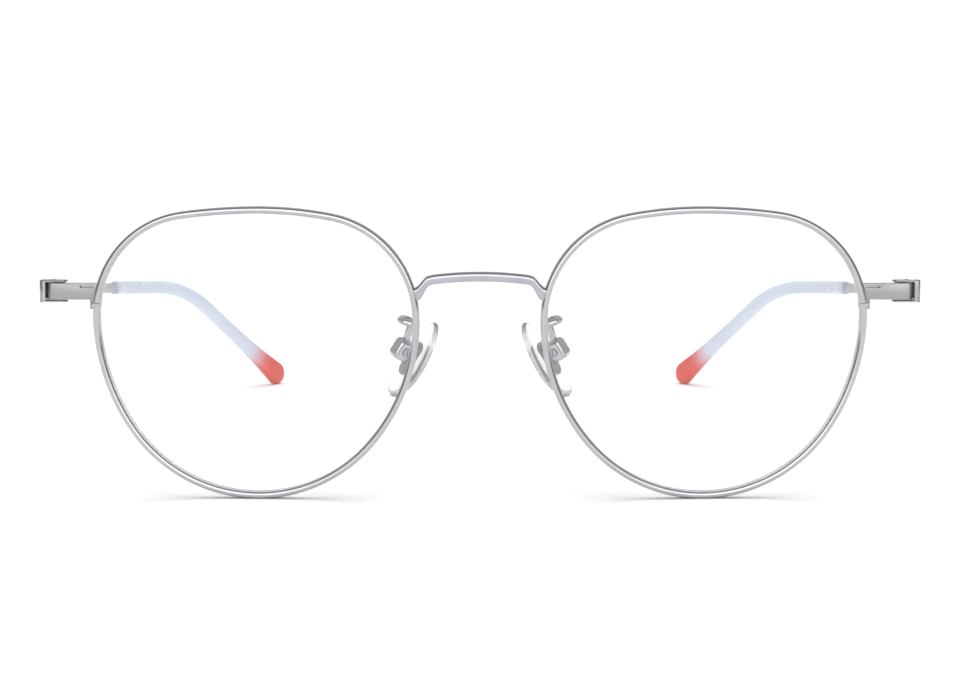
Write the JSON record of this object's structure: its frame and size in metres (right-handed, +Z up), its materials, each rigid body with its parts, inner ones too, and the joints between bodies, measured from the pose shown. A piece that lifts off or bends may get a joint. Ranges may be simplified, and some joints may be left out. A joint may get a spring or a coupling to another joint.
{
  "type": "wire eyeglasses",
  "caption": "Wire eyeglasses with panto metal rims, clear curved lenses, rocking nose pads and hinged temples with pale tips that fade to coral.",
  "frame": {"origin": "middle of the bounding box's base, on the surface the open glasses stand on", "axes": "+X to the side of the right-named pieces, +Y from the front toward the temple tips, +Z up"},
  "size_m": [0.1398, 0.1384, 0.0462],
  "materials": {
    "rim_metal": "polished",
    "satin_metal": "satin",
    "hinge_metal": "satin",
    "screw_metal": "satin",
    "pad_box_metal": "polished",
    "lens": "clear, anti-reflection coated",
    "tip_plastic": "glossy, fading to coral red at the ends",
    "pad_insert": "satin",
    "pad_silicone": "clear soft silicone"
  },
  "bodies": {
    "front": {"bridge": "rim_metal", "left_rim": "rim_metal", "left_lens": "lens", "left_end_piece": "satin_metal", "left_lock_block": "rim_metal", "left_rim_screw": "screw_metal", "left_front_leaf": "hinge_metal", "left_pad_arm": "rim_metal", "left_pad_box": "pad_box_metal", "left_pad_screw": "screw_metal", "right_rim": "rim_metal", "right_lens": "lens", "right_end_piece": "satin_metal", "right_lock_block": "rim_metal", "right_rim_screw": "screw_metal", "right_front_leaf": "hinge_metal", "right_pad_arm": "rim_metal", "right_pad_box": "pad_box_metal", "right_pad_screw": "screw_metal"},
    "left_temple_arm": {"left_temple_leaf": "hinge_metal", "left_hinge_screw": "screw_metal", "left_temple": "satin_metal", "left_temple_tip": "tip_plastic"},
    "left_pad": {"left_pad_insert": "pad_insert", "left_nose_pad": "pad_silicone"},
    "right_temple_arm": {"right_temple_leaf": "hinge_metal", "right_hinge_screw": "screw_metal", "right_temple": "satin_metal", "right_temple_tip": "tip_plastic"},
    "right_pad": {"right_pad_insert": "pad_insert", "right_nose_pad": "pad_silicone"}
  },
  "joints": [
    {"name": "left_temple_fold", "type": "hinge", "parent": "front", "child": "left_temple_arm", "pos_m": [-0.06658, -0.06187, 0.03275], "axis": [0, 0, -1], "range_deg": [0, 80]},
    {"name": "right_temple_fold", "type": "hinge", "parent": "front", "child": "right_temple_arm", "pos_m": [0.06658, -0.06187, 0.03275], "axis": [0, 0, 1], "range_deg": [0, 70]},
    {"name": "left_pad_rock", "type": "hinge", "parent": "front", "child": "left_pad", "pos_m": [-0.01219, -0.06043, 0.02292], "axis": [-0.424, 0.866, 0.265], "range_deg": [-8, 8]},
    {"name": "right_pad_rock", "type": "hinge", "parent": "front", "child": "right_pad", "pos_m": [0.01219, -0.06043, 0.02292], "axis": [0.424, 0.866, 0.265], "range_deg": [-8, 8]}
  ]
}
